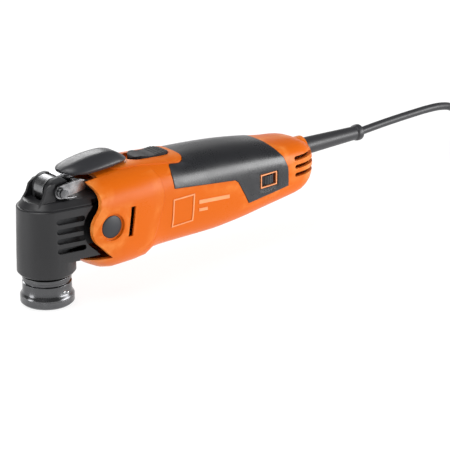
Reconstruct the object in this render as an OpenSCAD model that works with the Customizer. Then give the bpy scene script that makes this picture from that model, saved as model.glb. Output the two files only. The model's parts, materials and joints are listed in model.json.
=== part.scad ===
// Corded oscillating multi tool with a tool-free clamping lever.
// The origin is on the spindle axis at the tool seat's face. +Z runs up the spindle and +X runs
// back along the motor axis. Every length is in millimetres.

/* [Tool holder and spindle] */
// Radius of the tool holder's flange
flange_r = 20; // [19.5:0.5:21]
// Radius of the tool holder's collar
collar_r = 18.2; // [17.8:0.1:18.6]
// Height of the tool holder
holder_h = 22.5; // [22:0.1:23]
// Outer radius of the spindle
spindle_r = 7.5; // [7.4:0.1:7.5]
// Swing of the spindle each way, in degrees
swing = 1.7; // [1:0.1:1.8]

/* [Gear head] */
// Outer radius of the gear head cover
head_r = 21.8; // [21.5:0.1:22.2]
// Half width of the head cover where the ears cover it
head_flank_y = 27; // [26:0.5:27.5]
// Height of the head cover's lower rim
head_z0 = 24; // [23.5:0.5:24]
// Lever hinge along X
hinge_x = 5.5; // [5:0.5:6]
// Lever hinge along Z
hinge_z = 87; // [86.5:0.5:87.5]

/* [Motor] */
// Height of the motor axis
motor_z = 61; // [60.5:0.5:61.5]
// Distance from the spindle to the eccentric
eccentric_x = 30; // [29:0.5:31]
// Length of the stator stack
stator_l = 46; // [42:1:46]

/* [Housing] */
// Wall thickness of the housing
wall = 2.6; // [2.4:0.1:2.8]
// Radius of the caps over the vibration mounts
cap_r = 8.5; // [8:0.5:9]
// Thickness of the soft grip
grip_t = 1.6; // [1.4:0.1:1.7]
// Travel of the slide switch
switch_travel = 5; // [4:0.5:5]

/* [Cord] */
// Diameter of the cord
cord_d = 6.5; // [6.3:0.1:6.6]
// Length of the straight runs of the tied hank
hank_run = 45; // [43:1:48]

/* [Hidden] */
$fn = 64;

black = "#1c1c1e";
charcoal = "#3c3e42";
orange = "#f0681c";
steel = "#8e9296";
dark_steel = "#4a4c50";

// Fits
running = 0.05;      // radial clearance of a shaft in its hole
shell_gap = 0.3;     // gap between shells and what they hold

// Tool holder
seat_depth = 5.8;
star_out = 14;
star_in = 12.4;
star_points = 12;
jaw_bore_r = 6.2;
holder_base = 8;     // height at which the spindle starts
index_spots = [[-82, 11.8], [-71, 10.8], [98, 11.8], [109, 10.8]];

// Spindle and what it carries
spindle_top = 73;
jaw_room_r = 5.5;
rod_guide_r = 3.7;
spring_room_r = 5.7;
guide_z0 = 24;
guide_z1 = 38;
rod_r = 3.6;
rod_head_z = 66;
rod_top = 77.3;
rod_head_r = 5.5;
jaw_pin_y = 3;
jaw_pin_z = 20;
jaw_pin_r = 0.8;
jaw_half_x = 2.2;
lower_bearing_z = 27;
upper_bearing_z = 65.5;
fork_z0 = 54;
fork_z1 = 65;
prong_y = 8.8;       // inner face of each prong, clear of the orbiting bearing
prong_t = 4;

// Gear case and head cover
case_r = 18.5;
case_z0 = 24.5;
case_top = 73.5;
case_back = 48;
flank_x = 34;
shoulder_z = 75;
deck_z = 80.6;
horn_r = 9.8;
horn_y0 = 6;
horn_y1 = 9.5;
cam_r = 9.3;
cam_throw = 1.5;      // how far the cam circle sits off the hinge
lever_pin_r = 2.5;
vent_zs = [45.2, 52.6, 60, 67.4];
eccentricity = eccentric_x * tan(swing);

// Motor train along X
front_bearing_x = 40.5;
fan_x = 53;
fan_r = 22;
stator_x = 70;
rotor_r = 13.5;
commutator_x = stator_x + stator_l + 8;
rear_bearing_x = commutator_x + 22;
shaft_r = 4;
brush_x = commutator_x + 7;

// Housing
mount_x = 37.5;
mount_z = 58;
lead_z = 68;         // height of the cord's exit
tail_x = 246;        // rear end of the housing
dome_x = 222;        // where the rear end starts to round off
dial_x = 187.5;
dial_z = 60.5;
dial_r = 9;
dial_y = -19.4;
relief_end = 307;
screw_spots = [[58, 88], [66, 31], [140, 36], [208, 45]];

// Body stations: distance along X, half width, underside and top
body_stations = [
    [14, 29, 36, 91], [28, 30.8, 25.4, 93], [43, 31.5, 19.4, 94.3], [72, 31.5, 20.4, 95],
    [83, 30.2, 25.6, 94.4], [112, 30, 26, 92.6], [136, 30, 26.2, 91.4], [162, 29.8, 28.4, 89.4],
    [190, 28.4, 32.4, 85.8], [212, 26.8, 35.4, 82.4], [232, 25.2, 38, 80.6], [254, 24, 40, 79]
];
body_power = 3;      // squareness of the body's cross-section

// The cord's route from the strain relief to the hank's outer turn
cord_route = [
    [307, 0, 68], [325, 0, 69.5], [345, 0.3, 70.7], [365, 0.9, 71.4], [385, 2, 71.5], [403, 4, 69.8],
    [418, 7.5, 65], [429, 11.5, 57], [437, 15.5, 47], [443.5, 19, 36.5], [450, 22.5, 26],
    [457.5, 26, 16.5], [466.5, 29.5, 9], [476, 32, 5], [486, 33, 3.4]
];
// The rest of the cord lies folded in a hank, on the floor behind the tool
hank_x = 532.5;
turns_wide = 3;
turns_high = 6;
turn_pitch = cord_d * 1.02;
hank_in = 3.02 * cord_d - turn_pitch / 2;
hank_out = hank_in + turns_wide * turn_pitch;
hank_h = turns_high * turn_pitch;

// ---- Shapes used by several sub-parts ----

function secant(t, i, c) = (t[i + 1][c] - t[i][c]) / (t[i + 1][0] - t[i][0]);
function tangent(t, i, c) =
    i == 0 ? secant(t, 0, c)
    : i == len(t) - 1 ? secant(t, i - 1, c)
    : let (a = secant(t, i - 1, c), b = secant(t, i, c)) a * b <= 0 ? 0 : 2 * a * b / (a + b);
function span_of(t, x, i = 0) = i >= len(t) - 2 || x < t[i + 1][0] ? i : span_of(t, x, i + 1);
// Smooth value of column c of a station table at x, with no overshoot between stations
function blend_at(t, x, c) =
    let (i = span_of(t, x), h = t[i + 1][0] - t[i][0], u = (x - t[i][0]) / h)
    (2 * u * u * u - 3 * u * u + 1) * t[i][c] + (u * u * u - 2 * u * u + u) * h * tangent(t, i, c)
    + (3 * u * u - 2 * u * u * u) * t[i + 1][c] + (u * u * u - u * u) * h * tangent(t, i + 1, c);
function signed_pow(v, p) = sign(v) * pow(abs(v), p);

// Skin through equal rings of points, closed by a flat face at each end
module skin(rings) {
    n = len(rings[0]);
    polyhedron(
        points = [for (r = rings) each r],
        faces = concat(
            [[for (k = [0:n - 1]) k]],
            [for (j = [0:len(rings) - 2]) for (k = [0:n - 1]) each [
                [j * n + k, (j + 1) * n + (k + 1) % n, j * n + (k + 1) % n],
                [j * n + k, (j + 1) * n + k, (j + 1) * n + (k + 1) % n]]],
            [[for (k = [n - 1:-1:0]) (len(rings) - 1) * n + k]]),
        convexity = 6);
}

// One cross-section of the body at x, grown by g and shrunk to s towards the cord's exit
function body_ring(x, g, s, n) =
    let (w = blend_at(body_stations, x, 1) + g, z0 = blend_at(body_stations, x, 2) - g,
         z1 = blend_at(body_stations, x, 3) + g, zc = 64)
    [for (k = [0:n - 1]) let (a = 360 * (k + 0.5) / n)
        [x, s * w * signed_pow(cos(a), 2 / body_power),
         zc + s * ((z0 + z1) / 2 - zc + (z1 - z0) / 2 * signed_pow(sin(a), 2 / body_power))]];

// The body's outer form grown by g: stations along the barrel, then the rounded rear end
module body_form(g, x0 = 14, rings = 28, n = 44) {
    dome_l = tail_x - 3 - dome_x + g;
    skin(concat(
        [for (j = [0:rings]) body_ring(x0 + (dome_x - x0) * j / rings, g, 1, n)],
        [for (a = [12:12:60]) body_ring(dome_x + dome_l * sin(a) / sin(60), g,
            pow(cos(a), 0.8) * 0.999, n)]));
}

module along_x(x, z, y = 0) translate([x, y, z]) rotate([0, 90, 0]) children();
module along_y(x, y, z) translate([x, y, z]) rotate([-90, 0, 0]) children();
// A side outline in X and Z, carried from y0 to y1
module side_plate(y0, y1) translate([0, y1, 0]) rotate([90, 0, 0]) linear_extrude(y1 - y0) children();
module both_sides() {
    children();
    mirror([0, 1, 0]) children();
}
module tube(ro, ri, h) difference() {
    cylinder(r = ro, h = h);
    translate([0, 0, -1]) cylinder(r = ri, h = h + 2);
}

// Ball bearing with its rings, shields' gap and balls as separate solids
module ball_bearing(ri, ro, h, balls = 8) {
    ring_t = (ro - ri) * 0.28;
    mid = (ri + ro) / 2;
    ball_r = (ro - ri) * 0.2;
    difference() {
        tube(ro, ro - ring_t, h);
        translate([0, 0, h / 2]) rotate_extrude() translate([mid, 0]) circle(r = ball_r + running);
    }
    difference() {
        tube(ri + ring_t, ri, h);
        translate([0, 0, h / 2]) rotate_extrude() translate([mid, 0]) circle(r = ball_r + running);
    }
    for (k = [0:balls - 1]) rotate(360 * k / balls) translate([mid, 0, h / 2]) sphere(r = ball_r);
}

// ---- Tool holder, spindle and clamping ----

module star(r_out, r_in) polygon([for (k = [0:2 * star_points - 1])
    let (r = k % 2 == 0 ? r_out : r_in, a = 180 * k / star_points) [r * cos(a), r * sin(a)]]);

// Rim round the recess for the hub of a blade
module seat_ring() color(dark_steel) difference() {
    rotate_extrude() polygon([
        [jaw_bore_r, 0], [flange_r - 1.5, 0], [flange_r, 1.5], [flange_r, seat_depth],
        [jaw_bore_r, seat_depth]]);
    translate([0, 0, -1]) linear_extrude(seat_depth + 2) star(star_out, star_in);
}

module tool_holder() color(dark_steel) difference() {
    rotate_extrude() polygon([
        [jaw_bore_r, seat_depth], [flange_r, seat_depth], [flange_r, 6.5], [collar_r, 9.5],
        [collar_r, 16.5], [collar_r - 1.2, 17], [collar_r - 1.2, 18.8], [collar_r, 19.3],
        [collar_r, holder_h - 0.8], [collar_r - 0.8, holder_h], [spindle_r + 0.02, holder_h],
        [spindle_r + 0.02, holder_base], [jaw_bore_r, holder_base]]);
    for (p = index_spots) rotate(p[0]) translate([collar_r, 0, p[1]]) sphere(r = 1.25);
}

module index_pins() color("#d8dadc") for (p = index_spots)
    rotate(p[0]) translate([collar_r, 0, p[1]]) sphere(r = 1.2);

module spindle() color(steel) rotate_extrude() polygon([
    [jaw_room_r, holder_base], [spindle_r, holder_base], [spindle_r, spindle_top],
    [spring_room_r, spindle_top], [spring_room_r, guide_z1], [rod_guide_r, guide_z1],
    [rod_guide_r, guide_z0], [jaw_room_r, guide_z0]]);

module spindle_circlip() color(dark_steel) translate([0, 0, 36.4]) tube(9.6, spindle_r + 0.02, 1.1);

module oscillating_fork() color(steel) difference() {
    union() {
        translate([0, 0, fork_z0]) cylinder(r = 12.5, h = fork_z1 - fork_z0);
        translate([0, -prong_y - prong_t, fork_z0]) cube([22, 2 * (prong_y + prong_t), fork_z1 - fork_z0]);
        both_sides() translate([18, prong_y, fork_z0])
            cube([eccentric_x - 11, prong_t, fork_z1 - fork_z0 + 2.5]);
    }
    translate([0, 0, fork_z0 - 1]) cylinder(r = spindle_r + 0.02, h = fork_z1 - fork_z0 + 2);
    translate([eccentric_x, 0, fork_z0 - 1]) cylinder(r = 10.4, h = 20);
}

module clamp_rod() color(steel) difference() {
    union() {
        translate([0, 0, 22.2]) cylinder(r = rod_r, h = rod_head_z + 1 - 22.2);
        translate([0, 0, rod_head_z]) cylinder(r = rod_head_r, h = rod_top - rod_head_z);
        for (s = [-1, 1]) translate([s > 0 ? 2.4 : -4, -3.6, 17.6]) cube([1.6, 7.2, 6.2]);
    }
    for (y = [-jaw_pin_y, jaw_pin_y]) translate([-6, y, jaw_pin_z]) rotate([0, 90, 0])
        cylinder(r = jaw_pin_r + 0.02, h = 12);
}

// Stack of disc springs on the rod, in pairs set face to face
module clamp_springs() color(dark_steel) {
    pair_h = (rod_head_z - guide_z1) / 9;
    for (k = [0:8]) translate([0, 0, guide_z1 + k * pair_h + 0.05]) rotate_extrude() polygon([
        [rod_r + 0.2, 0.9], [rod_r + 0.2, pair_h - 1], [spring_room_r - 0.25, pair_h - 0.15],
        [spring_room_r - 0.25, pair_h - 1.1], [rod_r + 0.9, pair_h / 2 - 0.05],
        [spring_room_r - 0.25, 1], [spring_room_r - 0.25, 0.05]]);
}

module jaw() difference() {
    union() {
        translate([-jaw_half_x, jaw_pin_y, jaw_pin_z]) rotate([0, 90, 0])
            cylinder(r = 1.9, h = 2 * jaw_half_x);
        translate([-jaw_half_x, 2.4, 3.4]) cube([2 * jaw_half_x, 2.4, jaw_pin_z - 3.4]);
        translate([-jaw_half_x, 2.4, 3.4]) cube([2 * jaw_half_x, 4.6, 2]);
    }
    translate([-5, jaw_pin_y, jaw_pin_z]) rotate([0, 90, 0])
        cylinder(r = jaw_pin_r + running, h = 10);
}
module left_jaw() color(steel) mirror([0, 1, 0]) jaw();
module right_jaw() color(steel) jaw();
module jaw_pins() color("#c8cacc") for (y = [-jaw_pin_y, jaw_pin_y])
    translate([-4, y, jaw_pin_z]) rotate([0, 90, 0]) cylinder(r = jaw_pin_r, h = 8);

// ---- Gear head ----

module dust_seal() color(black) translate([0, 0, case_z0 + 0.1]) tube(16, spindle_r + 0.1, 2.2);
module lower_bearing() color(steel) translate([0, 0, lower_bearing_z])
    ball_bearing(spindle_r + running, 16, 9, 9);
module upper_bearing() color(steel) translate([0, 0, upper_bearing_z])
    ball_bearing(spindle_r + running, 14, 7, 10);

module gear_case() color("#2a2b2e") difference() {
    union() {
        translate([0, 0, case_z0]) cylinder(r = case_r, h = case_top - case_z0);
        translate([0, -case_r, 44]) cube([case_back - 3, 2 * case_r, case_top - 44]);
        along_x(case_back - 4, motor_z) cylinder(r = 23, h = 4);
        both_sides() along_y(mount_x, case_r - 1, mount_z) cylinder(r = 2.9, h = 8);
        both_sides() along_y(hinge_x, horn_y0, hinge_z) cylinder(r = horn_r, h = horn_y1 - horn_y0);
        both_sides() translate([hinge_x - horn_r, horn_y0, case_top - 1])
            cube([2 * horn_r, horn_y1 - horn_y0, hinge_z - case_top + 1]);
    }
    translate([0, 0, case_z0 - 1]) cylinder(r = 16.05, h = 37.1 - case_z0);
    translate([0, 0, 35]) cylinder(r = 14.5, h = 4);
    translate([0, 0, 38]) cylinder(r = 17, h = upper_bearing_z - 38.1);
    translate([0, 0, upper_bearing_z - 1]) cylinder(r = 14.05, h = 8.1);
    translate([0, 0, case_top - 2]) cylinder(r = 8, h = 4);
    translate([0, -15.6, 50]) cube([38, 31.2, 15.4]);
    translate([17, -15.6, 50]) cube([21, 31.2, 21.5]);
    along_x(30, motor_z) cylinder(r = 8.5, h = 10.3);
    along_x(front_bearing_x - 0.3, motor_z) cylinder(r = 11.05, h = 10);
    along_y(hinge_x, -20, hinge_z) cylinder(r = lever_pin_r + running, h = 40);
}

module head_plan(inset = 0) hull() {
    circle(r = head_r - inset);
    translate([flank_x - 1, 0]) square([2, 2 * (head_flank_y - inset)], center = true);
}

module head_cover() color(black) difference() {
    union() {
        translate([0, 0, head_z0]) cylinder(r1 = head_r - 1.2, r2 = head_r, h = 1.5);
        translate([0, 0, head_z0 + 1.5]) cylinder(r1 = head_r, r2 = head_r - 0.3, h = 16);
        hull() {
            translate([0, 0, 40]) linear_extrude(0.5) head_plan(0.3);
            translate([0, 0, 34.8]) linear_extrude(0.5) head_plan(1.8);
            translate([0, 0, shoulder_z - 0.6]) linear_extrude(0.6) head_plan(1.2);
            translate([0, 0, shoulder_z + 0.4]) linear_extrude(0.4) head_plan(2);
        }
        hull() {
            translate([0, 0, shoulder_z + 0.6]) linear_extrude(1) head_plan(3);
            translate([0, 0, deck_z - 1]) linear_extrude(1) head_plan(6.4);
        }
        // Sloping webs that carry the nose up to the hinge
        both_sides() side_plate(horn_y1 + 0.4, horn_y1 + 2.4) polygon([[-14.6, 76], [-8.4, 84],
            [-6, 90], [-1.5, 93.4], [2, 93.6], [2, 76]]);
    }
    // Room for the gear case, and the air space behind the vents
    translate([0, 0, head_z0 - 1]) cylinder(r = case_r + shell_gap, h = case_top + 1.6 - head_z0);
    translate([0, 0, case_top - 2]) cylinder(r = rod_head_r + 0.5, h = 12);
    translate([0, -case_r - shell_gap, 43]) cube([60, 2 * (case_r + shell_gap), case_top - 43 + 0.6]);
    intersection() {
        translate([-6, -40, 37]) cube([60, 80, shoulder_z - 38.5]);
        linear_extrude(100) head_plan(2);
    }
    // Opening for the hinge horns and the lever's cam
    translate([hinge_x - horn_r - 0.4, -horn_y1 - 0.4, case_top - 4])
        cube([2 * horn_r + 0.8, 2 * horn_y1 + 0.8, 20]);
    both_sides() along_y(mount_x, 15, mount_z) cylinder(r = 9.6, h = 20);
    // The flanks end in an open joint in front of the shells' ears
    both_sides() side_plate(17, 40) intersection() {
        offset(delta = 3.4) ear_outline();
        translate([0, 30]) square([80, deck_z - 31.5]);
    }
    for (s = [-1, 1]) for (z = vent_zs) hull() for (x = [-1.6, 17])
        along_y(x, s > 0 ? 17 : -37, z) cylinder(r = 2.1, h = 20, $fn = 16);
}

// ---- Lever ----

// Lever stations: distance along X, half width, half width of the flat top, underside and top
lever_stations = [
    [13, 4.6, 2.8, 97.2, 98.8], [15.4, 8.4, 4.6, 96.9, 100.3], [20, 12, 6, 96.6, 102],
    [28, 14.2, 7, 95.7, 104], [39, 14.6, 7, 96.2, 105.6], [50, 14, 6.8, 96.8, 106],
    [58, 12.6, 6.2, 97.2, 104.8], [64, 10.4, 5, 97.4, 102], [68, 7, 3.4, 97.6, 99.4]
];
function lever_half(x) = let (b = blend_at(lever_stations, x, 1), t = blend_at(lever_stations, x, 2),
    z0 = blend_at(lever_stations, x, 3), z1 = blend_at(lever_stations, x, 4), h = z1 - z0)
    [[b - 0.6, z0], [b, z0 + 0.2 * h], [b - 0.1 * (b - t), z0 + 0.42 * h],
     [t + 0.25 * (b - t), z1 - 0.16 * h], [t, z1 - 0.05 * h], [t * 0.86, z1], [t * 0.4, z1 + 0.12]];
function lever_ring(x) = let (h = lever_half(x), n = len(h)) concat(
    [for (k = [n - 1:-1:0]) [x, -h[k][0], h[k][1]]], [for (k = [0:n - 1]) [x, h[k][0], h[k][1]]]);

cam_neck = [[8, 92], [27, 93.4], [27, 99], [17, 98.6], [8, 96.4]];

module clamp_lever() color(charcoal) resize([0, 0, 0]) difference() {
    skin([for (j = [0:22]) lever_ring(13 + 55 * j / 22)]);
    along_y(hinge_x, -30, hinge_z) cylinder(r = horn_r + 0.6, h = 60);
    side_plate(-5.9, 5.9) offset(delta = 0.2) polygon(cam_neck);
    // Hollow underside
    translate([30, -10, 90]) cube([28, 20, 11]);
}

module lever_cam() color("#b4b6b8") difference() {
    union() {
        along_y(hinge_x - cam_throw, -5.7, hinge_z) cylinder(r = cam_r, h = 11.4);
        side_plate(-5.7, 5.7) polygon(cam_neck);
    }
    along_y(hinge_x, -7, hinge_z) cylinder(r = lever_pin_r + 0.02, h = 14);
}

module lever_yoke() color(steel) difference() {
    union() {
        both_sides() side_plate(12.4, 14.2) hull() {
            translate([hinge_x, hinge_z]) circle(r = 5);
            polygon([[22.4, 93.6], [26.4, 92], [26.8, 86.8], [24.8, 84.8]]);
        }
        translate([18.6, -12.5, 89]) cube([4, 25, 3.5]);
    }
    along_y(hinge_x, -20, hinge_z) cylinder(r = lever_pin_r + 0.02, h = 40);
}

module lever_pin() color("#c8cacc") union() {
    along_y(hinge_x, -17.4, hinge_z) cylinder(r = lever_pin_r, h = 34.8);
    along_y(hinge_x, -18.4, hinge_z) cylinder(r = 3.4, h = 1.1);
    along_y(hinge_x, 17.3, hinge_z) cylinder(r = 3.4, h = 1.1);
}

// Coils of the lever's springs on the pin, each with a leg that bears on the head
module lever_spring() color("#b4b6b8") both_sides() {
    for (k = [0:1]) along_y(hinge_x, 15.1 + 1.1 * k, hinge_z) rotate_extrude()
        translate([3.3, 0]) circle(r = 0.5);
    translate([hinge_x, 15.1, hinge_z - 4.34]) rotate([0, 96.5, 0]) cylinder(r = 0.5, h = 12.5);
}

// ---- Motor ----

module motor_shaft() color(steel) union() {
    along_x(front_bearing_x - 4, motor_z) cylinder(r = shaft_r, h = rear_bearing_x + 9 - front_bearing_x);
    along_x(eccentric_x - 3.5, motor_z + eccentricity) cylinder(r = 3, h = front_bearing_x - eccentric_x);
    along_x(eccentric_x + 3, motor_z) cylinder(r = 5.2, h = 3.6);
}
module eccentric_bearing() color("#b8babc") along_x(eccentric_x - 2.5, motor_z + eccentricity)
    ball_bearing(3 + 0.02, 6.5, 5, 7);
module front_bearing() color(steel) along_x(front_bearing_x, motor_z)
    ball_bearing(shaft_r + running, 11, 7, 7);
module rear_bearing() color(steel) along_x(rear_bearing_x, motor_z)
    ball_bearing(shaft_r + running, 9.5, 6, 7);

module fan() color("#2c2c2e") along_x(fan_x, motor_z) difference() {
    union() {
        cylinder(r = fan_r, h = 1.6);
        cylinder(r = 8, h = 9);
        for (k = [0:10]) rotate(360 * k / 11) translate([6, -0.7, 0.8]) rotate(18)
            cube([15, 1.4, 8.2]);
    }
    translate([0, 0, -1]) cylinder(r = shaft_r + 0.02, h = 14);
}

module rotor_core() color("#6a6c70") along_x(stator_x, motor_z) difference() {
    cylinder(r = rotor_r, h = stator_l);
    translate([0, 0, -1]) cylinder(r = shaft_r + 0.02, h = stator_l + 2);
    for (k = [0:11]) rotate(30 * k) translate([rotor_r - 0.4, 0, -1]) cylinder(r = 1.1, h = stator_l + 2);
}
module rotor_windings() color("#b4632a") for (x = [stator_x - 6.2, stator_x + stator_l + 0.1])
    along_x(x, motor_z) rotate_extrude() polygon([[4.1, 0.6], [5, 0], [9.6, 0], [11.8, 1.8],
        [12, 5], [11.4, 6.1], [4.1, 6.1]]);
module commutator() color("#c07a3c") along_x(commutator_x, motor_z) difference() {
    cylinder(r = 9, h = 14);
    translate([0, 0, -1]) cylinder(r = shaft_r + 0.02, h = 16);
    for (k = [0:11]) rotate(30 * k) translate([7.6, -0.2, -1]) cube([3, 0.4, 13]);
}

module stator_outline() intersection() {
    circle(r = 25.5);
    square([46, 49], center = true);
}
// One winding window between two radii, set at an angle
module window(a, grow = 0) rotate(a) intersection() {
    difference() {
        circle(r = 21 + grow);
        circle(r = 15.4 - grow);
    }
    polygon([[0, -2.6 - grow], [30, -8 - grow], [30, 8 + grow], [0, 2.6 + grow]]);
}
module stator_core() color("#7a7c80") along_x(stator_x, motor_z) linear_extrude(stator_l) difference() {
    stator_outline();
    circle(r = rotor_r + 0.7);
    for (a = [40, 140, 220, 320]) window(a, 0.3);
}
module field_coils() color("#b4632a") along_x(stator_x - 6, motor_z) for (side = [0, 180]) rotate(side)
    difference() {
        linear_extrude(stator_l + 12) intersection() {
            difference() {
                circle(r = 21);
                circle(r = 15.4);
            }
            polygon([[-1.6, 2], [17.8, 25.4], [40, 25.4], [40, -25.4], [17.8, -25.4], [-1.6, -2]]);
        }
        translate([0, 0, 5]) linear_extrude(stator_l + 2) polygon([[5.2, 0], [40, 19.9], [40, -19.9]]);
    }

module rear_bearing_plate() color(black) along_x(rear_bearing_x - 3, motor_z) difference() {
    union() {
        cylinder(r = 13, h = 10);
        intersection() {
            cylinder(r = 25.5, h = 4);
            translate([-12, -30, 0]) cube([24, 60, 4]);
        }
    }
    translate([0, 0, -1]) cylinder(r = 7, h = 5);
    translate([0, 0, 2.9]) cylinder(r = 9.55, h = 8);
}
module brush_holders() color("#c8a04a") both_sides() difference() {
    translate([brush_x - 4.2, 10.4, motor_z - 3.4]) cube([8.4, 14, 6.8]);
    translate([brush_x - 3.4, 9, motor_z - 2.6]) cube([6.8, 14.4, 5.2]);
}
module carbon_brushes() color("#3a3a3c") both_sides() difference() {
    translate([brush_x - 3.2, 7, motor_z - 2.4]) cube([6.4, 9, 4.8]);
    along_x(brush_x - 6, motor_z) cylinder(r = 9.1, h = 12);
}
module brush_springs() color("#c8cacc") both_sides() for (k = [0:3])
    along_y(brush_x, 17 + 1.5 * k, motor_z) rotate_extrude() translate([1.7, 0]) circle(r = 0.4);

// ---- Housing ----

// Side outline of the ear, the chin and the deck, as seen from the left
module ear_outline() difference() {
    union() {
        translate([mount_x, mount_z]) circle(r = 16.8);
        polygon([[27, 45], [39, 33], [60, 33], [60, 0], [300, 0], [300, 130], [16, 130], [17.5, 91.8],
            [24, 91.5], [28, 76], [25.5, 70], [mount_x, mount_z]]);
        polygon([[19, 33], [60, 33], [60, 0], [23, 0], [20.5, 28]]);
    }
    translate([14, 80]) circle(r = 15.5);
    polygon([[0, 33], [38.5, 33], [27, 43], [0, 60]]);
}

// Side outline of the front part, which ends in the ridge
module ridge_outline() polygon([[0, 0], [60, 0], [66.5, 28.3], [70.2, 32.3], [73.3, 36], [77.4, 45.2],
    [81, 56.2], [84, 64.6], [85.5, 74.3], [84.3, 84.2], [79.4, 92.8], [79.4, 110], [0, 110]]);
// Side outline of the soft grip
module grip_outline(grow = 0) offset(delta = grow) polygon([
    [96, 74], [95.6, 84], [97, 89], [104, 94], [112, 110], [190, 110], [197, 84], [204, 75],
    [207.5, 66], [208, 51], [167, 46.5], [156, 66], [153, 68.2]]);
// Plan outline of the raised pad round the switch
module pad_plan(grow = 0) hull() {
    translate([62, 0]) circle(r = 15 + grow, $fn = 32);
    for (y = [-11.5, 11.5]) translate([105.5, y]) circle(r = 8 + grow, $fn = 32);
}

module slot_cutter(x0, x1, z0, z1, r, y0) hull() {
    along_y(x0, y0, z0) cylinder(r = r, h = 20, $fn = 16);
    along_y(x1, y0, z1) cylinder(r = r, h = 20, $fn = 16);
}
module screw_boss(x, z) along_y(x, 0, z) cylinder(r = 4.2, h = 40, $fn = 24);

// Shell of the right half, with y > 0, and its screw holes drilled out to hole_y. The left half
// is its mirror image.
module shell_half(hole_y) {
    difference() {
        intersection() {
            union() {
                body_form(0);
                intersection() {
                    body_form(1);
                    translate([0, 0, 80]) linear_extrude(30) pad_plan();
                }
                // The front part stands proud of the barrel up to a curved ridge
                for (d = [0, 0.5]) intersection() {
                    scale([1, 1.03 - 0.024 * d, 1]) body_form(0);
                    side_plate(16, 60) offset(delta = d) ridge_outline();
                }
                along_x(dome_x + 10, lead_z) cylinder(r = 9.4, h = tail_x - dome_x - 12.6, $fn = 40);
            }
            side_plate(0, 60) ear_outline();
        }
        difference() {
            body_form(-wall, 8, 20, 32);
            intersection() {
                for (s = screw_spots) screw_boss(s[0], s[1]);
                translate([0, 0, 0]) cube([300, 60, 130]);
            }
        }
        // Recess for the soft grip, clear of the switch pad
        difference() {
            side_plate(-1, 60) grip_outline(0.25);
            body_form(-grip_t - 0.25, 8, 20, 32);
            linear_extrude(200) pad_plan(0.4);
        }
        // Switch recess, stem slot and lever slot in the deck
        hull() for (x = [84 - switch_travel, 100.5]) translate([x, 0, 92.1])
            cylinder(r = 9.4, h = 20, $fn = 32);
        translate([85.6 - switch_travel, -4.4, 82]) cube([8.2 + switch_travel, 8.8, 20]);
        translate([0, -15.4, 84]) cube([36, 30.8, 20]);
        // Room round the gear head, the mount cap and the strain relief
        cylinder(r = head_r + 0.9, h = 80, $fn = 64);
        along_y(mount_x, 20, mount_z) cylinder(r = cap_r + 0.2, h = 20, $fn = 40);
        along_y(mount_x, 30.6, mount_z) cylinder(r = cap_r + 1.7, h = 20, $fn = 40);
        along_x(dome_x, lead_z) cylinder(r = 7.1, h = 40, $fn = 40);
        for (s = screw_spots) along_y(s[0], -1, s[1]) cylinder(r = 1.65, h = hole_y, $fn = 20);
        // Air slots on the ear, with a thinner wall round it, and at the rear
        hull() for (e = [[53, 47.4], [56.4, 69.6]]) translate([e[0] - 2, 20, e[1]]) cube([4, 20, 0.2]);
        intersection() {
            body_form(-0.7, 8, 20, 32);
            translate([48.5, 20, 44]) cube([12.5, 20, 30]);
        }
        for (z = [57.5, 64, 70.5]) slot_cutter(217, 243, z, z, 1.6, 12);
    }
}

module housing_left() color(orange) resize([0, 0, 0]) difference() {
    mirror([0, 1, 0]) shell_half(22);
    // Window for the speed dial
    hull() for (x = [dial_x - 7.6, dial_x + 7.6]) for (z = [dial_z - 4.6, dial_z + 4.6])
        along_y(x, -40, z) cylinder(r = 1, h = 30, $fn = 16);
}
module housing_right() color(orange) resize([0, 0, 0]) difference() {
    shell_half(61);
    for (s = screw_spots) along_y(s[0], 19.5, s[1]) cylinder(r = 3.2, h = 20, $fn = 24);
}

module grip() color(charcoal) resize([0, 0, 0]) difference() {
    intersection() {
        body_form(0.35);
        side_plate(-60, 60) grip_outline();
    }
    body_form(-grip_t, 8, 20, 32);
    linear_extrude(200) pad_plan(0.65);
    // Pocket and window for the speed dial
    hull() for (x = [dial_x - 8, dial_x + 8]) for (z = [dial_z - 5, dial_z + 5])
        along_y(x, -40, z) cylinder(r = 1, h = 30, $fn = 16);
    for (r = [0:3]) hull() for (x = [dial_x - 9.4 + r, dial_x + 10.4 - r]) {
        along_y(x, -45, dial_z - 8 + r) cylinder(r = 1, h = 16.6 + 0.25 * r, $fn = 16);
        along_y(x, -45, dial_z + 7 - r) cylinder(r = 1, h = 16.6 + 0.25 * r, $fn = 16);
    }
    for (s = [-1, 1]) for (k = [0:2]) hull() for (x = [120, 146])
        along_y(x, s > 0 ? 29.2 : -39.2, 76 + 4 * k) cylinder(r = 0.5, h = 10, $fn = 12);
}

module mount_caps() color("#56585a") both_sides() along_y(mount_x, 28.7, mount_z) union() {
    cylinder(r = cap_r, h = 2);
    translate([0, 0, 2]) cylinder(r1 = cap_r, r2 = cap_r - 0.9, h = 0.5);
}
module damping_mounts() color(black) both_sides() along_y(mount_x, 19.6, mount_z)
    tube(8, 2.95, 8.9);

module housing_screws() color(dark_steel) for (s = screw_spots) along_y(s[0], 0, s[1]) difference() {
    union() {
        translate([0, 0, -10]) cylinder(r = 1.5, h = 30);
        translate([0, 0, 19.6]) cylinder(r = 3, h = 2.3);
    }
    translate([0, 0, 20.6]) cylinder(r = 1.4, h = 4, $fn = 6);
}

// ---- Switch, dial and electronics ----

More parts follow.
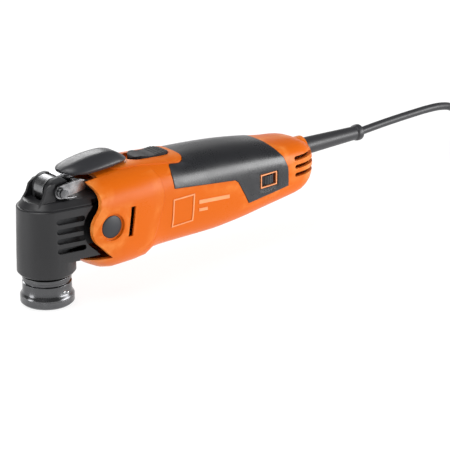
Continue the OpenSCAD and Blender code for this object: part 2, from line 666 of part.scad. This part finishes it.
module switch_profile() polygon([
    [76, 92.4], [76, 94.8], [77.4, 96.2], [80.4, 96.9], [84.4, 96.6], [88.4, 95.6], [92.4, 95.3],
    [96.4, 95.8], [100.4, 96.1], [104.4, 95.8], [107.4, 95.1], [109, 94.2], [109, 92.4]]);
module switch_cap() color(charcoal) union() {
    difference() {
        intersection() {
            side_plate(-10, 10) switch_profile();
            union() {
                translate([84.6, 0, 90]) cylinder(r = 8.6, h = 14);
                translate([100.4, 0, 90]) cylinder(r = 8.6, h = 14);
                translate([84.6, -8.6, 90]) cube([15.8, 17.2, 14]);
            }
        }
        for (k = [0:4]) along_y(95 + 2.5 * k, -12, 96.3 - abs(k - 2) * 0.2) cylinder(r = 0.55, h = 24);
    }
    translate([86, -3.8, 85.9]) cube([7.4, 7.6, 6.8]);
}
module switch_link() color(black) union() {
    translate([86, -5, 84.6]) cube([70.4, 10, 1.3]);
    translate([153.4, -3, 82.8]) cube([3, 6, 2]);
}
module power_switch() color("#2c2c2e") union() {
    translate([160, -9, 66]) cube([24, 18, 15]);
    translate([160, -2.5, 81]) cube([6, 5, 2.6]);
}

module speed_dial() color("#303236") translate([dial_x, dial_y, dial_z - 3.4]) difference() {
    cylinder(r = dial_r, h = 6.8);
    translate([0, 0, -1]) cylinder(r = 1.5 + running, h = 10);
    for (k = [0:23]) rotate(15 * k) translate([dial_r + 0.2, 0, -1]) cylinder(r = 0.6, h = 9);
}
module dial_potentiometer() color("#4a6a58") union() {
    translate([dial_x - 7, -24.8, dial_z - 10.4]) cube([14, 11.6, 6.2]);
    translate([dial_x, dial_y, dial_z - 4.4]) cylinder(r = 1.5, h = 8.6);
}
module dial_frame() color("#d8935e") resize([0, 0, 0]) difference() {
    intersection() {
        body_form(-0.3, 170, 8, 48);
        translate([dial_x - 8.4, -40, dial_z - 5.4]) cube([16.8, 30, 10.8]);
    }
    body_form(-1.8, 170, 8, 48);
    translate([dial_x - 7.5, -41, dial_z - 4.5]) cube([15, 30, 9]);
}

module control_board() color("#3c6a48") translate([157, -16, 47]) cube([46, 32, 1.6]);
module board_parts() color("#55585c") {
    translate([164, -10, 48.7]) cube([20, 8, 12]);
    translate([186, 1, 48.7]) cube([12, 13, 9]);
    translate([172, 8, 48.7]) cylinder(r = 5, h = 14);
    translate([164, 4, 48.7]) cylinder(r = 2.4, h = 8);
    translate([201, -8, 48.7]) cube([1.6, 10, 11]);
}

module cable_clamp() color(black) difference() {
    translate([216, -11, 61.5]) cube([8, 22, 13]);
    along_x(210, lead_z) cylinder(r = cord_d / 2 + 0.1, h = 20);
    for (y = [-8, 8]) translate([220, y, 60]) cylinder(r = 1.3, h = 20);
}
module clamp_screws() color(dark_steel) for (y = [-8, 8]) translate([220, y, 62]) union() {
    cylinder(r = 1.2, h = 12.5);
    translate([0, 0, 12.6]) cylinder(r = 2.3, h = 1.6);
}
module inner_lead() color(black) along_x(208, lead_z) cylinder(r = cord_d / 2, h = relief_end - 208);

module strain_relief() color(black) along_x(0, lead_z) rotate_extrude() polygon([
    [cord_d / 2 + running, 228], [9, 228], [9, 231.5], [6.9, 231.5], [6.9, 252], [5.5, 300],
    [6.3, 300.8], [6.6, 302], [6.6, 304.6], [6.2, 305.8], [5, 306.6], [cord_d / 2 + running, 306.6]]);

// ---- Badge and name strip, kept blank ----

module skin_patch(g0, g1) difference() {
    body_form(g1, 84, 20, 48);
    body_form(g0, 84, 20, 48);
    translate([0, 0, -10]) cube([400, 200, 200]);
    translate([0, -10, -10]) cube([400, 40, 200]);
}
module badge_plate() color("#f4a468") resize([0, 0, 0]) intersection() {
    skin_patch(0.06, 0.5);
    side_plate(-60, 0) difference() {
        polygon([[92.5, 44], [112.5, 44.8], [114, 66.4], [94, 66]]);
        polygon([[93.6, 45], [111.4, 45.7], [112.8, 65.3], [95, 65]]);
    }
}
module label_bars() color("#f8d4b4") resize([0, 0, 0]) intersection() {
    skin_patch(0.06, 0.4);
    side_plate(-60, 0) union() {
        polygon([[118, 57.2], [147, 55.4], [147, 58.2], [118, 60.2]]);
        polygon([[118, 51.2], [126, 50.7], [126, 53.1], [118, 53.6]]);
    }
}

// ---- Cord, tied hank and plug ----

function unit(v) = v / norm(v);
function route_dir(r, i) = unit(r[min(i + 1, len(r) - 1)] - r[max(i - 1, 0)]);
function route_ring(r, i, rad, n) =
    let (d = route_dir(r, i), side = unit(cross([0, 0, 1], d)), up = cross(d, side))
    [for (k = [0:n - 1]) r[i] + rad * (cos(360 * k / n) * side + sin(360 * k / n) * up)];
module swept_tube(r, rad, n) skin([for (i = [0:len(r) - 1]) route_ring(r, i, rad, n)]);

module cord() color(black) swept_tube(cord_route, cord_d / 2, 12);

module stadium(r) union() {
    for (x = [-hank_run / 2, hank_run / 2]) translate([x, 0]) circle(r = r);
    square([hank_run, 2 * r], center = true);
}
module cord_hank() color(black) translate([hank_x, 0, 0]) linear_extrude(hank_h) difference() {
    stadium(hank_out);
    stadium(hank_in);
}

module cord_tie() color(charcoal) translate([hank_x + 11.5, 0, 0]) difference() {
    translate([0, -hank_out - 1.4, 0]) cube([8, 2 * hank_out + 2.8, hank_h + 1.5]);
    translate([-1, -hank_out - 0.3, -1]) cube([10, 2 * hank_out + 0.6, hank_h + 1.3]);
}

plug_x = hank_x - 26;
plug_y = hank_in + turn_pitch / 2;
plug_z = hank_h + 9.65;
module plug_body() color(black) translate([plug_x, plug_y, plug_z]) intersection() {
    rotate([0, 90, 0]) union() {
        cylinder(r1 = 5.5, r2 = 9, h = 14);
        translate([0, 0, 14]) cylinder(r1 = 12, r2 = 17.6, h = 8);
        translate([0, 0, 22]) cylinder(r = 17.6, h = 14);
    }
    translate([-1, -18, -9.6]) cube([60, 36, 19.2]);
}
module plug_pins() color("#c8cacc") for (y = [-9.5, 9.5])
    translate([plug_x + 36, plug_y + y, plug_z]) rotate([0, 90, 0]) union() {
        cylinder(r = 2.4, h = 17.5);
        translate([0, 0, 17.5]) cylinder(r1 = 2.4, r2 = 1.6, h = 1.5);
    }

seat_ring();
tool_holder();
index_pins();
spindle();
spindle_circlip();
oscillating_fork();
clamp_rod();
clamp_springs();
left_jaw();
right_jaw();
jaw_pins();
dust_seal();
lower_bearing();
upper_bearing();
gear_case();
head_cover();
clamp_lever();
lever_yoke();
lever_cam();
lever_pin();
lever_spring();
motor_shaft();
eccentric_bearing();
fan();
rotor_core();
rotor_windings();
commutator();
front_bearing();
rear_bearing();
stator_core();
field_coils();
rear_bearing_plate();
brush_holders();
carbon_brushes();
brush_springs();
housing_left();
housing_right();
grip();
switch_cap();
switch_link();
power_switch();
speed_dial();
dial_potentiometer();
dial_frame();
control_board();
board_parts();
cable_clamp();
clamp_screws();
inner_lead();
strain_relief();
housing_screws();
damping_mounts();
mount_caps();
badge_plate();
label_bars();
cord();
cord_hank();
cord_tie();
plug_body();
plug_pins();
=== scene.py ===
import json
import math

import bpy
import bmesh
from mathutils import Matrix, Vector


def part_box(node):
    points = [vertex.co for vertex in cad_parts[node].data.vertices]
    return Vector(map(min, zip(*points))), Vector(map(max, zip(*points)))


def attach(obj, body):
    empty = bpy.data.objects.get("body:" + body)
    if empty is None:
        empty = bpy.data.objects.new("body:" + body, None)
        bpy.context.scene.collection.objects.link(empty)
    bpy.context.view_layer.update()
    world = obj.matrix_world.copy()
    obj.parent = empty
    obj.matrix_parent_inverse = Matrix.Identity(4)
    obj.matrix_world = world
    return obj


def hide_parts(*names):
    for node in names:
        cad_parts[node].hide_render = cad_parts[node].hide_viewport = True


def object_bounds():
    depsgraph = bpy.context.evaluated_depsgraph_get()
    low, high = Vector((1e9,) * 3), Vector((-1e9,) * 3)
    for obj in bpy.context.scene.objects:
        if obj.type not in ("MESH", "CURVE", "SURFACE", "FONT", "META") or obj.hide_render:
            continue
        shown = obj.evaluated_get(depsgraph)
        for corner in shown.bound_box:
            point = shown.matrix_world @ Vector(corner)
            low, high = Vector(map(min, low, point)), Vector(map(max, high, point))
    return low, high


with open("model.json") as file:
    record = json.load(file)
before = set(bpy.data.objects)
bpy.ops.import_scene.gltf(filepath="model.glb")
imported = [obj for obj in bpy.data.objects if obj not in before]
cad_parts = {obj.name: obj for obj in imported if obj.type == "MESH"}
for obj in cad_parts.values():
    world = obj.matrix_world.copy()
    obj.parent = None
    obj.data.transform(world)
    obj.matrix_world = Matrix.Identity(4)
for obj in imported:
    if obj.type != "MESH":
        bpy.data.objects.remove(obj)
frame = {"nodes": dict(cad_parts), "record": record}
cad_lo, cad_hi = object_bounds()
nodes = frame["nodes"]
scene = bpy.context.scene
scene.view_settings.view_transform = "Standard"
scene.view_settings.look = "None"


# ---------------------------------------------------------------- camera
def aimed(obj, place, target):
    obj.location = place
    obj.rotation_euler = (Vector(target) - Vector(place)).to_track_quat("-Z", "Y").to_euler()
    scene.collection.objects.link(obj)
    return obj


# The camera looks along an azimuth, counted from +Y towards +X, and down by an elevation
azimuth, elevation = math.radians(38.5), math.radians(20.8)
looks_along = Vector((math.sin(azimuth) * math.cos(elevation), math.cos(azimuth) * math.cos(elevation),
                      -math.sin(elevation)))
looks_at = Vector((0.1008, -0.0827, 0.06))
cam_distance = 1.4475
cam_data = bpy.data.cameras.new("view")
cam_data.lens, cam_data.sensor_width = 160, 36
cam_data.clip_start, cam_data.clip_end = 0.05, 60
camera = aimed(bpy.data.objects.new("view", cam_data), looks_at - cam_distance * looks_along, looks_at)
scene.camera = camera


# ---------------------------------------------------------------- materials
class Shade:
    """A material's node tree, built up by name."""

    def __init__(self, name):
        self.mat = bpy.data.materials.new(name)
        self.mat.use_nodes = True
        self.tree = self.mat.node_tree
        self.bsdf = self.tree.nodes["Principled BSDF"]
        coords = self.tree.nodes.new("ShaderNodeTexCoord")
        self.place = coords.outputs["Object"]

    def node(self, kind, **settings):
        n = self.tree.nodes.new(kind)
        for key, value in settings.items():
            if hasattr(n, key):
                setattr(n, key, value)
            else:
                n.inputs[key].default_value = value
        return n

    def link(self, out, socket):
        self.tree.links.new(out, socket)

    def noise(self, scale, detail=2.0, stretch=None):
        n = self.node("ShaderNodeTexNoise", Scale=scale, Detail=detail)
        place = self.place
        if stretch:
            m = self.node("ShaderNodeMapping")
            m.inputs["Scale"].default_value = stretch
            self.link(place, m.inputs["Vector"])
            place = m.outputs["Vector"]
        self.link(place, n.inputs["Vector"])
        return n.outputs["Fac"]

    def span(self, value, lo, hi, out_lo, out_hi):
        n = self.node("ShaderNodeMapRange")
        for k, v in (("From Min", lo), ("From Max", hi), ("To Min", out_lo), ("To Max", out_hi)):
            n.inputs[k].default_value = v
        self.link(value, n.inputs["Value"])
        return n.outputs["Result"]

    def math(self, kind, a, b):
        n = self.node("ShaderNodeMath", operation=kind)
        for i, v in enumerate((a, b)):
            if isinstance(v, (int, float)):
                n.inputs[i].default_value = v
            else:
                self.link(v, n.inputs[i])
        return n.outputs[0]

    def ramp(self, value, stops):
        n = self.node("ShaderNodeValToRGB")
        e = n.color_ramp.elements
        while len(e) < len(stops):
            e.new(0.5)
        for i, (at, colour) in enumerate(stops):
            e[i].position = at
            e[i].color = (*colour, 1)
        self.link(value, n.inputs["Fac"])
        return n.outputs["Color"]

    def mix(self, fac, a, b):
        n = self.node("ShaderNodeMix", data_type="RGBA")
        self.link(fac, n.inputs[0])
        for i, v in ((6, a), (7, b)):
            if isinstance(v, tuple):
                n.inputs[i].default_value = (*v, 1)
            else:
                self.link(v, n.inputs[i])
        return n.outputs[2]

    def relief(self, height, strength, depth, rounded=0.0):
        bump = self.node("ShaderNodeBump", Strength=strength, Distance=depth)
        self.link(height, bump.inputs["Height"])
        if rounded:
            edge = self.node("ShaderNodeBevel", samples=4)
            edge.inputs["Radius"].default_value = rounded
            self.link(edge.outputs["Normal"], bump.inputs["Normal"])
        self.link(bump.outputs["Normal"], self.bsdf.inputs["Normal"])

    def edges(self, lo=0.52, hi=0.6):
        """1 on sharp convex edges and 0 on flat faces, broken up by noise."""
        geo = self.node("ShaderNodeNewGeometry")
        worn = self.span(geo.outputs["Pointiness"], lo, hi, 0, 1)
        return self.math("MULTIPLY", worn, self.span(self.noise(140, 3), 0.35, 0.65, 0.2, 1))


def scaled(colour, by):
    return tuple(min(1, c * by) for c in colour)


def plastic(name, colour, rough, grain=900, depth=0.00004, strength=0.35, vary=0.07, coat=0.0,
            rounded=0.0006, worn=None, specular=0.5):
    s = Shade(name)
    cloud = s.noise(14, 3)
    base = s.ramp(cloud, [(0.3, scaled(colour, 1 - vary)), (0.7, scaled(colour, 1 + vary))])
    speck = s.span(s.noise(2600, 1), 0.62, 0.78, 0, 0.35)
    base = s.mix(speck, base, scaled(colour, 1.25))
    base = s.mix(s.edges(), base, worn or scaled(colour, 1.3))
    s.link(base, s.bsdf.inputs["Base Color"])
    fine = s.noise(grain, 2)
    smear = s.noise(38, 4)
    r = s.math("ADD", s.span(fine, 0.3, 0.7, rough - 0.05, rough + 0.05),
               s.span(smear, 0.35, 0.65, -0.04, 0.05))
    s.link(r, s.bsdf.inputs["Roughness"])
    s.bsdf.inputs["Specular IOR Level"].default_value = specular
    s.bsdf.inputs["Coat Weight"].default_value = coat
    s.bsdf.inputs["Coat Roughness"].default_value = 0.12
    s.relief(fine, strength, depth, rounded)
    return s.mat


def metal(name, colour, rough, stretch=(1, 1, 14), grain=420, depth=0.00002, strength=0.25,
          worn=None):
    s = Shade(name)
    brushed = s.noise(grain, 3, stretch=stretch)
    cloud = s.noise(45, 3)
    base = s.ramp(cloud, [(0.3, scaled(colour, 0.88)), (0.7, scaled(colour, 1.1))])
    base = s.mix(s.edges(0.52, 0.58), base, worn or scaled(colour, 1.5))
    s.link(base, s.bsdf.inputs["Base Color"])
    s.bsdf.inputs["Metallic"].default_value = 1.0
    r = s.math("ADD", s.span(brushed, 0.3, 0.7, rough - 0.07, rough + 0.07),
               s.span(cloud, 0.35, 0.65, -0.04, 0.05))
    s.link(r, s.bsdf.inputs["Roughness"])
    s.relief(brushed, strength, depth, 0.0003)
    return s.mat


def wound(name, colour, rough):
    """Enamelled wire, wound side by side."""
    s = Shade(name)
    n = s.node("ShaderNodeTexWave", wave_type="BANDS", bands_direction="DIAGONAL", Scale=900)
    n.inputs["Distortion"].default_value = 0.6
    s.link(s.place, n.inputs["Vector"])
    # The wave troughs darken the copper: painted shade in the grooves between the turns of wire
    base = s.ramp(n.outputs["Fac"], [(0.1, scaled(colour, 0.45)), (0.6, colour)])
    s.link(base, s.bsdf.inputs["Base Color"])
    s.bsdf.inputs["Metallic"].default_value = 0.8
    s.link(s.span(s.noise(60), 0.3, 0.7, rough - 0.06, rough + 0.08), s.bsdf.inputs["Roughness"])
    s.relief(n.outputs["Fac"], 0.6, 0.0001)
    return s.mat


looks = {
    "orange_shell": plastic("orange_shell_look", (0.68, 0.128, 0.004), 0.33, grain=1300, depth=0.00002,
                            strength=0.2, vary=0.04, worn=(0.82, 0.26, 0.05), specular=0.15),
    "soft_grip": plastic("soft_grip_look", (0.015, 0.0155, 0.018), 0.29, grain=1700, depth=0.00004,
                         strength=0.35, vary=0.08, rounded=0.0008, worn=(0.035, 0.036, 0.04)),
    "dark_plastic": plastic("dark_plastic_look", (0.024, 0.0245, 0.028), 0.36, grain=1500),
    "black_plastic": plastic("black_plastic_look", (0.012, 0.012, 0.0135), 0.42, grain=1500),
    "grey_cap": plastic("grey_cap_look", (0.021, 0.023, 0.028), 0.5, grain=1500),
    "print": plastic("print_look", (0.74, 0.27, 0.10), 0.4, grain=1500, rounded=0.0),
    "cast_alloy": metal("cast_alloy_look", (0.045, 0.046, 0.048), 0.5, stretch=(1, 1, 1), grain=700,
                        depth=0.00008, strength=0.5),
    "dark_steel": metal("dark_steel_look", (0.11, 0.111, 0.115), 0.24, worn=(0.35, 0.35, 0.36)),
    "steel": metal("steel_look", (0.17, 0.172, 0.176), 0.28, worn=(0.42, 0.42, 0.43)),
    "bright_steel": metal("bright_steel_look", (0.52, 0.53, 0.54), 0.18),
    "copper": wound("copper_look", (0.62, 0.26, 0.10), 0.34),
    "carbon": plastic("carbon_look", (0.03, 0.03, 0.032), 0.6, vary=0.2),
    "board_green": plastic("board_green_look", (0.012, 0.09, 0.035), 0.3, coat=0.4),
    "switch": plastic("switch_look", (0.012, 0.012, 0.014), 0.55, grain=1500, specular=0.3),
    "cord_rubber": plastic("cord_rubber_look", (0.026, 0.026, 0.029), 0.42, grain=1100, rounded=0.0),
}


# ---------------------------------------------------------------- CAD nodes
def smooth_group():
    """Joins a node's facets and shades it smooth, apart from edges over the angle."""
    g = bpy.data.node_groups.new("join_and_smooth", "GeometryNodeTree")
    g.interface.new_socket("Geometry", in_out="INPUT", socket_type="NodeSocketGeometry")
    angle = g.interface.new_socket("Angle", in_out="INPUT", socket_type="NodeSocketFloat")
    g.interface.new_socket("Geometry", in_out="OUTPUT", socket_type="NodeSocketGeometry")
    a, z = g.nodes.new("NodeGroupInput"), g.nodes.new("NodeGroupOutput")
    weld = g.nodes.new("GeometryNodeMergeByDistance")
    weld.inputs["Distance"].default_value = 0.000004
    smooth = g.nodes.new("GeometryNodeSetShadeSmooth")
    sharp = g.nodes.new("GeometryNodeSetShadeSmooth")
    sharp.domain = "EDGE"
    sharp.inputs["Shade Smooth"].default_value = False
    edge = g.nodes.new("GeometryNodeInputMeshEdgeAngle")
    over = g.nodes.new("FunctionNodeCompare")
    over.operation = "GREATER_THAN"
    link = g.links.new
    link(a.outputs["Geometry"], weld.inputs["Geometry"])
    link(weld.outputs["Geometry"], smooth.inputs["Geometry"])
    link(smooth.outputs["Geometry"], sharp.inputs["Geometry"])
    link(edge.outputs["Unsigned Angle"], over.inputs["A"])
    link(a.outputs["Angle"], over.inputs["B"])
    link(over.outputs["Result"], sharp.inputs["Selection"])
    link(sharp.outputs["Geometry"], z.inputs["Geometry"])
    return g


join_smooth = smooth_group()
sharp_angle = math.radians(35)   # edges over this angle stay sharp


def finish_node(o, width):
    """Smooths a node, and rounds its sharp edges where width isn't 0."""
    m = o.modifiers.new("smooth", "NODES")
    m.node_group = join_smooth
    key = next(s.identifier for s in join_smooth.interface.items_tree if s.name == "Angle")
    m[key] = sharp_angle
    if width:
        b = o.modifiers.new("rounded_edges", "BEVEL")
        b.width, b.segments, b.limit_method = width, 2, "ANGLE"
        b.angle_limit = sharp_angle
        b.miter_outer = "MITER_ARC"
        b.harden_normals = True


def dress(o, look):
    o.data.materials.clear()
    o.data.materials.append(look)


# Radius of the rounded edges, in metres, on nodes with hard edges that can be seen
rounded_nodes = {
    "seat_ring": 0.0001, "tool_holder": 0.00015, "lever_cam": 0.0004, "lever_pin": 0.0003,
    "switch_cap": 0.0004, "speed_dial": 0.00015, "mount_caps": 0.0004, "strain_relief": 0.0003,
    "plug_body": 0.0006, "plug_pins": 0.0003, "cord_tie": 0.0003, "gear_case": 0.0002,
    "clamp_rod": 0.0002, "housing_screws": 0.0002,
}
slots = {s["node"]: s["material_slot"] for s in frame["record"]["subparts"]}
slots["switch_cap"] = "switch"   # duller than the other dark plastic
for name, o in nodes.items():
    dress(o, looks[slots[name]])
    finish_node(o, rounded_nodes.get(name, 0.0))


# ---------------------------------------------------------------- cord
cord_d = 0.0065
hank_lo, hank_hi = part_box("cord_hank")
plug_lo, plug_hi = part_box("plug_body")
route = [(307, 0, 68), (325, 0, 69.5), (345, 0.3, 70.7), (365, 0.9, 71.4), (385, 2, 71.5),
         (403, 4, 69.8), (418, 7.5, 65), (429, 11.5, 57), (437, 15.5, 47), (443.5, 19, 36.5),
         (450, 22.5, 26), (457.5, 26, 16.5), (466.5, 29.5, 9), (476, 32, 5), (486, 33, 3.4)]
route = [Vector(p) / 1000 for p in route]
pitch = cord_d * 1.02
turns_wide, turns_high = 3, 6
fold_steps = 8       # points round each half turn


def smoothstep(t):
    t = max(0.0, min(1.0, t))
    return t * t * (3 - 2 * t)


def lane_at(turn):
    """The layer of a turn and its place in the layer, to and fro."""
    layer, slot = divmod(turn, turns_wide)
    return layer, slot if layer % 2 == 0 else turns_wide - 1 - slot


def hank_points():
    """Turns beside and on each other round two folds, layer by layer, then over to the plug."""
    mid = (hank_lo + hank_hi) / 2
    outer = hank_hi.y - pitch / 2
    half = (hank_hi.x - hank_lo.x) / 2 - hank_hi.y
    plug_y, plug_z = (plug_lo.y + plug_hi.y) / 2, (plug_lo.z + plug_hi.z) / 2
    top_z = pitch * (turns_high + 0.5)
    total = turns_wide * turns_high
    made = []
    for whole in range(total):
        layer, lane = lane_at(whole)
        nxt_layer, nxt_lane = lane_at(whole + 1)
        r, z = outer - pitch * lane, pitch * (layer + 0.5)
        made += [Vector((mid.x - half, r, z)), Vector((mid.x, r, z))]
        for i in range(fold_steps):
            a = math.pi / 2 - math.pi * i / fold_steps
            made.append(Vector((mid.x + half + r * math.cos(a), r * math.sin(a), z)))
        made.append(Vector((mid.x + half, -r, z)))
        if whole == total - 1:
            # The last turn climbs to the top of the hank on its way back
            made.append(Vector((mid.x + 0.2 * half, -r, z + 0.05 * (top_z - z))))
            made.append(Vector((mid.x - 0.5 * half, -r, z + 0.65 * (top_z - z))))
            break
        made.append(Vector((mid.x, -r, z)))
        for i in range(fold_steps):
            step = smoothstep(i / fold_steps)
            a = 1.5 * math.pi - math.pi * i / fold_steps
            now = r - pitch * (nxt_lane - lane) * step
            made.append(Vector((mid.x - half + now * math.cos(a), now * math.sin(a),
                                z + pitch * (nxt_layer - layer) * step)))
    fold = (r + plug_y) / 2
    for i in range(fold_steps + 1):
        a = 1.5 * math.pi - math.pi * i / fold_steps
        made.append(Vector((plug_lo.x - 0.0005 + fold * math.cos(a), plug_y - fold + fold * math.sin(a),
                            top_z + (plug_z - top_z) * smoothstep(i / fold_steps))))
    made.append(Vector((plug_lo.x + 0.004, plug_y, plug_z)))
    return made


line = route + hank_points()


def curve_piece(name, points, radius, look):
    data = bpy.data.curves.new(name, "CURVE")
    data.dimensions = "3D"
    data.resolution_u = 4
    data.bevel_depth = radius
    data.bevel_resolution = 5
    data.use_fill_caps = True
    spline = data.splines.new("BEZIER")
    spline.bezier_points.add(len(points) - 1)
    for b, p in zip(spline.bezier_points, points):
        b.co = p
        b.handle_left_type = b.handle_right_type = "AUTO"
    o = bpy.data.objects.new(name, data)
    scene.collection.objects.link(o)
    data.materials.append(look)
    return o


cord = curve_piece("power_cord", line, cord_d / 2, looks["cord_rubber"])
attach(cord, "body")
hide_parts("cord", "cord_hank")


# ---------------------------------------------------------------- floor and light
stage_r, wall_h = 12, 2
floor_mesh = bpy.data.meshes.new("floor")
bm = bmesh.new()
bmesh.ops.create_circle(bm, cap_ends=True, segments=96, radius=stage_r)
# The rim turns up into a low wall, so that a level view meets the stage and not the world behind it
wall = bmesh.ops.extrude_edge_only(bm, edges=[e for e in bm.edges if e.is_boundary])["geom"]
bmesh.ops.translate(bm, vec=(0, 0, wall_h), verts=[v for v in wall if isinstance(v, bmesh.types.BMVert)])
bm.to_mesh(floor_mesh)
bm.free()
floor = bpy.data.objects.new("floor", floor_mesh)
floor.location.z = cad_lo.z - 0.0003
scene.collection.objects.link(floor)
ground = Shade("floor_look")
ground.link(ground.ramp(ground.noise(2.2, 2), [(0.3, (0.20, 0.20, 0.20)), (0.7, (0.22, 0.22, 0.22))]),
            ground.bsdf.inputs["Base Color"])
ground.bsdf.inputs["Roughness"].default_value = 0.85
ground.bsdf.inputs["Specular IOR Level"].default_value = 0.2
ground.bsdf.inputs["Emission Color"].default_value = (1, 1, 1, 1)
ground.bsdf.inputs["Emission Strength"].default_value = 0.84
dress(floor, ground.mat)

world = bpy.data.worlds.new("studio")
world.use_nodes = True
world.node_tree.nodes["Background"].inputs["Color"].default_value = (1, 1, 1, 1)
world.node_tree.nodes["Background"].inputs["Strength"].default_value = 0.22
scene.world = world


def softbox(name, place, target, width, height, power):
    data = bpy.data.lights.new(name, "AREA")
    data.shape, data.size, data.size_y = "RECTANGLE", width, height
    data.energy = power
    return aimed(bpy.data.objects.new(name, data), place, target)


middle = (0.13, 0, 0.06)
softbox("right", (1.14, -0.98, 0.36), middle, 1.15, 0.5, 18.5)
softbox("left", (-1.3, 0.42, 0.26), (0, 0, 0.05), 0.5, 0.6, 6)
softbox("over", (-0.55, -0.1, 1.4), middle, 0.9, 0.8, 11)
softbox("rear", (0.5, 1.35, 0.8), middle, 1.0, 0.5, 11)
